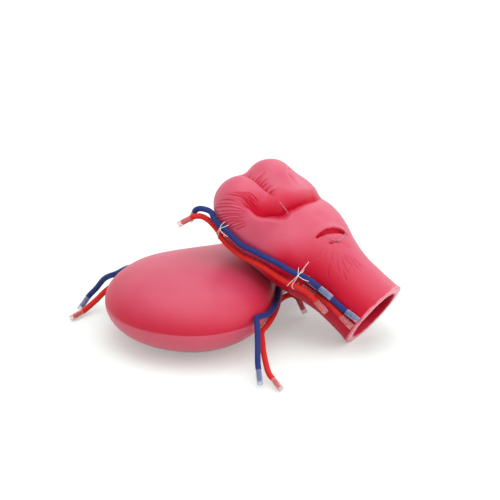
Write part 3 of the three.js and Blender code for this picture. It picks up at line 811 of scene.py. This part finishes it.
def add_brace():
    route = thread_line(set_over(BRACE_ROUTE, folded_distance), BRACE_STEPS)
    tails = [thread_line(set_over(tail, folded_distance), TIE_STEPS) for tail in BRACE_TAILS]
    knot = knot_ball(tails[0][0] + slope(tails[0][:1], folded_distance)[0] * MM, KNOT_RADIUS)
    lines = [moved(line, FOLDED) for line in (route, *tails, thread_line(knot, KNOT_STEPS))]
    made = tube("compression_suture_thread", lines, BRACE_RADIUS, THREAD_SIDES, SUTURE)
    stand_for(made, "compression_suture", "sutured_uterus")


add_brace()


# Foam bodies

# A face is skin when it looks squarely enough along the slope and lies this near the skin's curve
SKIN_FACING = (0.35, 0.75)
OUTER_REACH = 3 * MM
INNER_REACH = 4 * MM
SKIN_UNEVEN = 0.35 * MM
INNER_SHADE = 0.8


def even_copy(name, node, voxel):
    """Copy of a CAD node with small even faces."""
    bm = bmesh.new()
    bm.from_mesh(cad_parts[node].data)
    bmesh.ops.remove_doubles(bm, verts=bm.verts, dist=1e-5)
    bmesh.ops.recalc_face_normals(bm, faces=bm.faces)
    made = link(bpy.data.objects.new(name, mesh_from(name, bm)))
    remesh = made.modifiers.new("even", "REMESH")
    remesh.mode = "VOXEL"
    remesh.voxel_size = voxel
    graph = bpy.context.evaluated_depsgraph_get()
    mesh = bpy.data.meshes.new_from_object(made.evaluated_get(graph))
    made.modifiers.clear()
    made.data = mesh
    return made


def subdivide(mesh, chosen, times):
    """Splits the faces whose corners are all chosen."""
    bm = bmesh.new()
    bm.from_mesh(mesh)
    for _ in range(times):
        inside = chosen(np.array([v.co for v in bm.verts]))
        bm.verts.index_update()
        edges = [e for e in bm.edges if inside[e.verts[0].index] and inside[e.verts[1].index]]
        bmesh.ops.subdivide_edges(bm, edges=edges, cuts=1, use_grid_fill=True)
    bm.to_mesh(mesh)
    bm.free()


def set_skins(mesh, matrix, distance, wall):
    """Puts the outer and inner skin on their true curves.

    Gives the points in the model's frame, the directions out of the foam and a mask of each skin.
    """
    q = moved(coordinates(mesh), np.linalg.inv(np.array(matrix)))
    normals = np.empty(len(q) * 3)
    mesh.vertex_normals.foreach_get("vector", normals)
    normals = normals.reshape(-1, 3) @ np.array(matrix)[:3, :3]
    d = distance(q)
    away = slope(q, distance)
    facing = np.sum(normals * away, axis=1)
    outer = smoothstep(facing, *SKIN_FACING) * (np.abs(d) < OUTER_REACH)
    inner = smoothstep(-facing, *SKIN_FACING) * (np.abs(d + wall) < INNER_REACH)
    on_outer = seat(q, distance, 0)
    on_inner = seat(q, distance, -wall)
    q = q + (on_outer - q) * outer[:, None] + (on_inner - q) * inner[:, None]
    return q, away, outer, inner


def to_line(points, line, reach=40 * MM):
    """Distance from points to a smooth line on the folded skin through marks in millimetres, within reach.

    Gives too how far along it the nearest place is, that place, and whether a point lies left of the way.
    """
    marks = np.array(line, float) * MM
    line = seat(through(marks, np.linspace(0, 1, 3 * len(marks))), folded_distance, 0)
    run = lengths(line)
    best = np.full(len(points), 1.0)
    share = np.zeros(len(points))
    place = np.zeros((len(points), 3))
    left = np.zeros(len(points), bool)
    close = np.nonzero(np.all((points > line.min(0) - reach) & (points < line.max(0) + reach), axis=1))[0]
    q = points[close]
    for i in range(len(line) - 1):
        step = line[i + 1] - line[i]
        t = np.clip((q - line[i]) @ step / (step @ step), 0, 1)
        away = q - line[i] - t[:, None] * step
        d = np.linalg.norm(away, axis=1)
        near = d < best[close]
        here = close[near]
        best[here] = d[near]
        share[here] = (run[i] + t[near] * (run[i + 1] - run[i])) / run[-1]
        place[here] = q[near] - away[near]
        turned = np.cross(step, away[near])
        left[here] = turned[:, 0] * q[near, 0] + turned[:, 1] * q[near, 1] > 0
    return best, share, place, left


def fade(share, start, end):
    return smoothstep(share, 0, start) * (1 - smoothstep(share, 1 - end, 1))


def swell(q, size, seed):
    """Slow ups and downs, about -1 to 1, of this size."""
    rng = np.random.default_rng(seed)
    total = np.zeros(len(q))
    for _ in range(7):
        direction = rng.normal(size=3)
        direction /= np.linalg.norm(direction)
        total += np.sin(q @ direction * 2 * np.pi / (size * rng.uniform(0.7, 1.5)) + rng.uniform(0, 6))
    return total / 4


# Marks on the folded model's skin, in millimetres in its own frame
CREASE_LEFT = [
    (20.4, 29, 184.5), (21.4, 31.6, 180.7), (23, 34.6, 175.4), (23.7, 37, 169.1), (24, 37.7, 163.8),
    (24.7, 38.1, 158), (25.2, 39.3, 152.8), (26.7, 40.8, 147.8), (27.9, 42.2, 142.9), (28.3, 42.8, 138.2),
]
GROOVE = [  # under the roll, from the left lobe past the pinch to the far side
    (54.7, 14.3, 178.6), (54.6, 22.2, 171.2), (52.7, 26.6, 164.4), (51.7, 27.4, 158.9), (50.1, 27.3, 153.2),
    (48.7, 26.9, 148.6), (48, 26.3, 143.2), (45.8, 28, 137.7), (41.6, 31, 131.9), (35, 32.6, 125.7),
    (28.4, 34.6, 122.6), (22, 37.9, 122.7), (14.2, 39.5, 121.5), (5.1, 40.7, 120.9), (-6.7, 40.6, 120.1),
    (-21.1, 38.5, 119.9), (-42, 28, 121),
]
CREASE_RIGHT = [  # between the middle lobe and the right one, from over the top
    (-28, 40, 165.5), (-22, 46, 161.5), (-17.5, 47.5, 159), (-13, 49, 157), (-9, 49, 154.5), (-8, 49, 150),
    (-7, 48.5, 144), (-4, 48, 138), (-2, 47, 133),
]
WRINKLES = [  # into the groove's near end, from below it round to above it
    [(55, -6, 174), (60, 10, 165), (58, 17, 158), (54, 22, 150), (50, 24, 144)],
    [(54, 8, 181), (55, 20, 174), (54, 25, 165), (51, 27, 155), (48, 26, 145)],
    [(53, 3, 181), (57, 17, 172), (55, 24, 163), (52, 26, 153), (48, 26, 145)],
    [(52, -3, 180), (58, 14, 171), (57, 21, 162), (53, 24, 153), (49, 26, 144)],
    [(57, 0, 175), (59, 11, 168), (58, 19, 160), (54, 23, 152), (50, 25, 144)],
    [(55, -8, 171), (60, 9, 163), (59, 16, 157), (56, 20, 150), (52, 23, 145)],
    [(56, -8, 167), (60, 8, 160), (59, 15, 154), (56, 19, 149), (53, 21, 145)],
    [(58, -7, 163), (60, 8, 157), (59, 14, 152), (55, 19, 148)],
    [(60, -5, 158), (60, 9, 153), (58, 15, 149), (54, 19, 145)],
    [(61, -1, 154), (60, 9, 149), (57, 15, 146), (54, 19, 143)],
    [(60, 3, 149), (58, 10, 145), (55, 16, 143)],
    [(52, 19, 181), (51, 26, 173), (49, 30, 165), (48, 30, 156), (47, 27, 146)],
    [(50, 24, 177), (48, 30, 170), (47, 31, 162), (46, 31, 154), (46, 28, 145)],
    [(48, 28, 175), (46, 32, 167), (45, 33, 160), (45, 31, 153), (45, 29, 145)],
    [(46, 31, 170), (44, 34, 164), (43, 33, 157), (43, 32, 150)],
    [(43, 34, 167), (41, 35, 160), (40, 34, 155), (41, 33, 149)],
]
SHORT_FOLDS = [  # off the left crease, each from the crease outwards
    [(25, 33, 178), (19, 32, 180), (15, 33, 180), (13, 36, 178)],
    [(25, 36, 174), (20, 35, 175), (16, 35, 177)],
    [(25, 36, 170), (18, 38, 171), (12, 41, 170), (6, 42, 173)],
    [(25, 37, 167), (18, 39, 168), (13, 41, 167)],
    [(24, 38, 164), (17, 40, 164), (12, 43, 162)],
    [(23, 38, 161), (18, 40, 160), (15, 42, 159)],
    [(24, 39, 157), (18, 41, 156), (15, 43, 155)],
    [(25, 40, 152), (21, 42, 151), (18, 44, 148)],
]
UPPER_LIP = [
    (24, 35.5, 88.5), (22, 37, 89), (17, 38.5, 90), (12, 40, 89), (5.5, 41, 88), (-2, 41.5, 85.5),
    (-7, 41, 82), (-10.5, 39.5, 78), (-14.5, 38, 74.5), (-18, 35.5, 70),
]
LOWER_LIP = [
    (26, 34.5, 87.5), (21.5, 37, 87), (17, 38.5, 85.5), (13, 39.5, 83.5), (9, 40, 81.5), (3.5, 40.5, 80.5),
    (-3, 40.5, 79), (-8, 39.5, 76.5), (-12, 38, 71.5), (-15.5, 36, 67),
]
SECOND_CREASE = [
    (15, 38, 77), (14, 38, 74), (10, 39, 73.3), (7, 39, 71.5), (3.4, 39, 69), (0.6, 38.5, 65),
    (-1.7, 38, 61), (-4, 37, 57),
]
PULLED = [[(15, 38, 78), (15, 37, 73)], [(12, 39, 76), (12, 38, 71)]]
NECK_WRINKLES = [  # from the knot down the neck
    [(21, 35, 75), (28, 30, 73), (35, 24, 71)], [(18, 36, 72), (26, 31, 69), (31, 26, 65)],
    [(15, 36, 69), (22, 33, 63), (25, 28, 57)], [(12, 37, 67), (18, 34, 59), (24, 29, 51), (26, 26, 43)],
    [(10, 37, 64), (16, 33, 53), (19, 31, 43), (21, 29, 34)], [(8, 37, 62), (12, 35, 52), (13, 34, 41)],
    [(6, 37, 60), (10, 35, 49), (14, 33, 37)], [(4, 37, 59), (7, 36, 48), (9, 34, 36), (10, 34, 29)],
    [(4, 37, 53), (4, 36, 43), (3, 36, 33)],
    [(25, 30, 61), (31, 23, 56), (33, 18, 49)], [(19, 32, 50), (23, 28, 43), (25, 25, 34)],
]
SHOULDER = (-27, 44, 145)
DENTS = [((44.6, 26.4, 130), 0.7, 6), ((0, 42.2, 102.5), 0.7, 6), (SHOULDER, 6, 21)]

# Along the groove: shares of its length, and at each the depth, the width and the belly's swell
GROOVE_SHARES = [0, 0.13, 0.28, 0.4, 0.54, 0.66, 0.84, 1]
GROOVE_DEPTHS = [0, 1, 3.5, 7, 6, 3.5, 3.5, 0]
GROOVE_WIDTHS = [6, 8, 15, 18, 16, 9, 7, 6]
BELLY_SWELLS = [0, 0.3, 1, 2.6, 2, 0.6, 0.3, 0]
BELLY_EDGE = 1.4 * MM
BELLY_RISE = 2 * MM
BELLY_REACH = 12 * MM
ROLL_SHADE = 2  # its reach, as a share of the groove's width
SHADED_DEPTH = 3 * MM

LEFT_CREASE_DEPTH = 4.6 * MM
LEFT_CREASE_SLOPE = 5 * MM
SECOND_CREASE_DEPTH = 3 * MM
SECOND_CREASE_SLOPE = 2.6 * MM
SECOND_CREASE_LIP = 0.9 * MM

# Other folds: depth, half width, and the shares of the length over which the start and the end fade
RIGHT_VALLEY = (1.6 * MM, 4 * MM, 0.3, 0.5)
RIGHT_LINE = (0.8 * MM, 1 * MM, 0.3, 0.4)
WRINKLE = (0.85 * MM, 0.7 * MM, 0.25, 0.3)
SHORT_FOLD = (1 * MM, 1 * MM, 0.02, 0.7)
PULL = (0.7 * MM, 0.9 * MM, 0.3, 0.3)
NECK_WRINKLE = (0.8 * MM, 0.9 * MM, 0.3, 0.4)

UPPER_LIP_LIFT = 1.8 * MM
LOWER_LIP_DROP = 1.2 * MM
SLIT_OPEN_DEPTH = 0.3 * MM
SLIT_SHUT_DEPTH = 5.5 * MM
SLIT_REACH = 12 * MM

# Painted shade along the near veins and below them: how far it reaches from each near vein, and the heights
# over which it ends
FLANK_REACHES = {"ovarian": 34 * MM, "uterine": 58 * MM}
FLANK_ENDS = (92 * MM, 122 * MM)
FLANK_SHADE = 0.85
PLAIN_SHADES = (0.25, 0.7)  # painted shade under the seam and just over it
PLAIN_SHADE_REACH = 36 * MM

RIM_ENDS = (4 * MM, 9 * MM)
RIM_UNEVEN = 0.6 * MM
RIM_THICKER = 0.9 * MM
RIM_THICKER_UNEVEN = 0.7 * MM
PALE_EDGE = (0.8 * MM, 2.4 * MM)
PALE_EDGE_UNEVEN = 0.9 * MM


def gentle(q, line, depth, width, start, end):
    """Fold along a line, rounded at its bottom."""
    d, share, _, _ = to_line(q, line, 3 * width)
    return depth * np.exp(-((d / width) ** 2)) * fade(share, start, end)


def deepest(q, lines, depth, width, start, end):
    pressed = np.zeros(len(q))
    for line in lines:
        pressed = np.maximum(pressed, gentle(q, line, depth, width, start, end))
    return pressed


def sloping(d, width):
    return np.clip(1 - d / width, 0, 1) ** 1.4


def groove(q):
    """Valley under the roll: long on the roll's side, short and steep on the belly's, which swells out."""
    d, share, _, on_roll = to_line(q, GROOVE)
    listed = (GROOVE_DEPTHS, GROOVE_WIDTHS, BELLY_SWELLS)
    depth, width, swelling = (np.interp(share, GROOVE_SHARES, values) * MM for values in listed)
    sunk = depth * np.where(on_roll, sloping(d, width), np.exp(-d / BELLY_EDGE))
    swollen = swelling * (1 - np.exp(-d / BELLY_RISE)) * np.exp(-((d / BELLY_REACH) ** 2))
    shade = np.where(on_roll, np.sqrt(sloping(d, width * ROLL_SHADE)), 0.6 * np.exp(-d / (1 * MM)))
    return sunk - np.where(on_roll, 0, swollen), shade * np.minimum(depth / SHADED_DEPTH, 1)


def left_crease(q):
    """The left lobe lies over the middle one, which slopes in under it."""
    d, share, _, on_middle = to_line(q, CREASE_LEFT)
    keep_share = fade(share, 0.02, 0.5)
    steep = np.exp(-d / (1 * MM))
    sunk = LEFT_CREASE_DEPTH * np.where(on_middle, np.exp(-d / LEFT_CREASE_SLOPE), steep) * keep_share
    shade = np.where(on_middle, 0.6 * np.exp(-d / (2.5 * MM)), np.exp(-d / (0.8 * MM))) * keep_share
    return sunk, shade


def second_crease(q):
    """Crease below the incision, where the brace is knotted: its lower side stands up."""
    d, share, _, above = to_line(q, SECOND_CREASE)
    keep_share = fade(share, 0.1, 0.2)
    steep = np.exp(-d / (0.7 * MM))
    sunk = SECOND_CREASE_DEPTH * np.where(above, np.exp(-d / SECOND_CREASE_SLOPE), steep)
    stood = np.where(above, 0, SECOND_CREASE_LIP * np.exp(-(((d - 1.6 * MM) / (1.4 * MM)) ** 2)))
    shade = np.where(above, 0.7 * np.exp(-d / (1.5 * MM)), np.exp(-d / (0.6 * MM)))
    return (sunk - stood) * keep_share, shade * keep_share


def folded_creases(q):
    """How far the folded model's skin is pressed in, in metres, and how much shade is painted on each point
    in the folds.
    """
    under, under_shade = groove(q)
    notch, notch_shade = left_crease(q)
    knot, knot_shade = second_crease(q)
    right = gentle(q, CREASE_RIGHT, *RIGHT_VALLEY) + gentle(q, CREASE_RIGHT, *RIGHT_LINE)
    wrinkles = deepest(q, WRINKLES, *WRINKLE)
    folds = deepest(q, SHORT_FOLDS, *SHORT_FOLD)
    pulled = deepest(q, PULLED, *PULL)
    neck = deepest(q, NECK_WRINKLES, *NECK_WRINKLE)
    dents = np.zeros(len(q))
    for mark, depth, width in DENTS:
        d = np.linalg.norm(q - np.array(mark) * MM, axis=1)
        dents = np.maximum(dents, depth * MM * np.exp(-((d / (width * MM)) ** 2)))
    pressed = under + notch + np.maximum(knot, pulled) + right + wrinkles + folds + neck + dents
    # Painted shade in the fine folds, by their depth.
    fine = 0.65 * (wrinkles + folds + pulled + neck)
    return pressed, under_shade + notch_shade + knot_shade + fine / MM


def lips(q, outer):
    """The incision: a raised upper lip, a dropped lower one, and sliced faces that meet inside the wall.

    Gives how far each point rises, how it moves to close the slit, and which points are near it.
    """
    up, share_up, on_up, _ = to_line(q, UPPER_LIP)
    low, share_low, on_low, _ = to_line(q, LOWER_LIP)
    lift = UPPER_LIP_LIFT * np.exp(-((up / (4 * MM)) ** 2)) * fade(share_up, 0.2, 0.3)
    drop = -LOWER_LIP_DROP * np.exp(-((low / (3 * MM)) ** 2)) * fade(share_low, 0.2, 0.3)
    raised = np.where(up < low, lift, drop)
    depth = np.clip(-folded_distance(q), 0, None)
    upper = (q[:, 2] > (on_up + on_low)[:, 2] / 2) * np.exp(-((up / (14 * MM)) ** 2)) * (up < 30 * MM)
    closing = smoothstep(depth, SLIT_OPEN_DEPTH, SLIT_SHUT_DEPTH) * upper * (1 - outer)
    near = np.minimum(up, low) < SLIT_REACH
    return raised * outer, (on_low - on_up) * closing[:, None], near


def painted_flank_shade(q, away):
    """Painted shade along the near cords and below them, deeper colour fading toward the front and the
    lobes.
    """
    deep = np.zeros(len(q))
    for kind, width in FLANK_REACHES.items():
        marks = [mark[:3] for mark in FOLDED_CORDS[f"sutured_near_{kind}_vein"]]
        d, _, place, _ = to_line(q, marks, 60 * MM)
        beside = np.where(q[:, 1] < place[:, 1], 1, 1 - smoothstep(d, 0.1 * width, width))
        deep = np.maximum(deep, beside * (d < 59 * MM))
    low = 1 - smoothstep(q[:, 2], *FLANK_ENDS)
    return FLANK_SHADE * deep * low * smoothstep(away[:, 0], -0.5, 0.1)


def cut_faces(d, outer, inner):
    """1 on raw foam between the two skins, 0 on the skins."""
    return (1 - outer) * (1 - inner) * smoothstep(-d, 0.6 * MM, 1.4 * MM)


def keep(made, mesh, q, matrix, painted_shade, cut_and_painted_light, node, body):
    """Writes the points back, over the table, and dresses the foam piece."""
    p = moved(q, matrix)
    p[:, 2] = np.maximum(p[:, 2], 0)
    mesh.vertices.foreach_set("co", p.ravel())
    value_at_points(mesh, "painted_shade", np.clip(painted_shade, 0, 1))
    value_at_points(mesh, "cut_and_painted_light", np.clip(cut_and_painted_light, 0, 1))
    smooth(mesh)
    mesh.materials.clear()
    mesh.materials.append(FOAM)
    stand_for(made, node, body)


def build_folded():
    made = even_copy("sutured_foam", "sutured_uterus_body", (1.1) * MM)
    mesh = made.data
    back = np.linalg.inv(np.array(FOLDED))

    def wrinkled(p):
        q = moved(p, back)
        folds = (q[:, 2] > 112 * MM) & (q[:, 0] > -30 * MM) & (q[:, 1] > -6 * MM)
        front = (q[:, 2] > 30 * MM) & (q[:, 2] < 96 * MM) & (q[:, 0] > -22 * MM) & (q[:, 1] > 16 * MM)
        return folds | front

    subdivide(mesh, wrinkled, 1)
    q, away, outer, inner = set_skins(mesh, FOLDED, folded_distance, FOLDED_WALL)
    pressed, painted_shade = folded_creases(q)
    pressed *= outer
    raised, closed, by_incision = lips(q, outer)
    at_rim = 1 - smoothstep(q[:, 2], *RIM_ENDS)
    uneven = swell(q, 14 * MM, seed=9)
    raised += (RIM_UNEVEN * uneven * at_rim + SKIN_UNEVEN * swell(q, 45 * MM, seed=3)) * outer
    raised -= (RIM_THICKER + RIM_THICKER_UNEVEN * uneven) * at_rim * inner
    q = q + closed + away * (raised - pressed)[:, None]
    wall = cut_faces(folded_distance(q), outer, inner)
    pale_edge = outer * (1 - smoothstep(q[:, 2] - PALE_EDGE_UNEVEN * uneven, *PALE_EDGE))
    # Painted shade in the incision: its inner faces take the deep red instead of raw foam.
    slit = (1 - outer) * by_incision
    painted_shade = np.maximum(painted_shade, painted_flank_shade(q, away)) * outer + INNER_SHADE * inner + slit
    cut_and_painted_light = np.maximum(wall * at_rim * (0.6 + 0.3 * swell(q, 9 * MM, seed=4)), 0.7 * pale_edge)
    keep(made, mesh, q, FOLDED, painted_shade, cut_and_painted_light, "sutured_uterus_body", "sutured_uterus")


def build_plain():
    made = even_copy("plain_foam", "plain_uterus_body", (1.6) * MM)
    mesh = made.data

    def by_seam(p):
        return np.abs(p[:, 2] - SEAM_HEIGHT) < 4 * MM

    subdivide(mesh, by_seam, 2)
    q, away, outer, inner = set_skins(mesh, PLAIN, plain_distance, PLAIN_WALL)
    off = (q[:, 2] - SEAM_HEIGHT - SEAM_WAVE * np.sin(q[:, 0] / SEAM_WAVE_LENGTH)) / SEAM_WIDTH
    seam = np.exp(-(off**2))
    q = q + away * ((SEAM_STEP * seam + SKIN_UNEVEN * swell(q, 60 * MM, seed=5)) * outer)[:, None]
    wall = cut_faces(plain_distance(q), outer, inner)
    # Painted floor light: the skin under the seam a little paler, toward the raw foam colour.
    painted_floor_light = 0.08 * smoothstep(-off, -0.5, 1) * outer
    # Painted shade: a deep band along the seam and just over it, fading upward, and a weaker one under it.
    up = q[:, 2] - SEAM_HEIGHT
    under, over = PLAIN_SHADES
    deep = under + (over - under) * smoothstep(up, -SEAM_WIDTH, SEAM_WIDTH)
    deep -= over * smoothstep(up, 0, PLAIN_SHADE_REACH)
    painted_shade = np.maximum(over * seam, deep) * outer + INNER_SHADE * inner
    keep(made, mesh, q, PLAIN, painted_shade, wall + painted_floor_light, "plain_uterus_body", "plain_uterus")


build_folded()
build_plain()


# Table, light and background

def seen_by_eye(tree):
    """1 for rays from the camera, or by way of gloss or glass."""
    path = put(tree, "LightPath")
    either = put(tree, "Math", {0: path.outputs["Is Camera Ray"], 1: path.outputs["Is Glossy Ray"]},
                 operation="MAXIMUM")
    return put(tree, "Math", {0: either.outputs[0], 1: path.outputs["Is Transmission Ray"]},
               operation="MAXIMUM").outputs[0]


def add_table():
    bm = bmesh.new()
    bmesh.ops.create_grid(bm, x_segments=1, y_segments=1, size=TABLE_HALF)
    mesh = mesh_from("table", bm)
    table = link(bpy.data.objects.new("table", mesh))
    made = bpy.data.materials.new("table")
    made.use_nodes = True
    tree = made.node_tree
    tree.nodes.clear()
    paper = put(tree, "BsdfDiffuse", {"Color": PAPER})
    glow = put(tree, "Emission", {"Color": PAPER_GLOW, "Strength": seen_by_eye(tree)})
    both = put(tree, "AddShader", {0: paper.outputs[0], 1: glow.outputs[0]})
    out = put(tree, "OutputMaterial")
    tree.links.new(both.outputs[0], out.inputs["Surface"])
    mesh.materials.append(made)


def add_light():
    world = bpy.data.worlds.new("world")
    bpy.context.scene.world = world
    world.use_nodes = True
    tree = world.node_tree
    tree.nodes.clear()
    strength = mask(tree, seen_by_eye(tree), 0, 1, WORLD_LIGHT, 1)
    sky = put(tree, "Background", {"Color": (1, 1, 1, 1), "Strength": strength})
    out = put(tree, "OutputWorld")
    tree.links.new(sky.outputs[0], out.inputs["Surface"])
    for name, place, size, power in LAMPS:
        data = bpy.data.lights.new(name, "AREA")
        data.size = size
        data.energy = power
        lamp = link(bpy.data.objects.new(name, data))
        lamp.location = place
        aim = Vector(AIM) - Vector(place)
        lamp.rotation_euler = aim.to_track_quat("-Z", "Y").to_euler()


add_table()
add_light()
bpy.context.scene.view_settings.view_transform = "Standard"
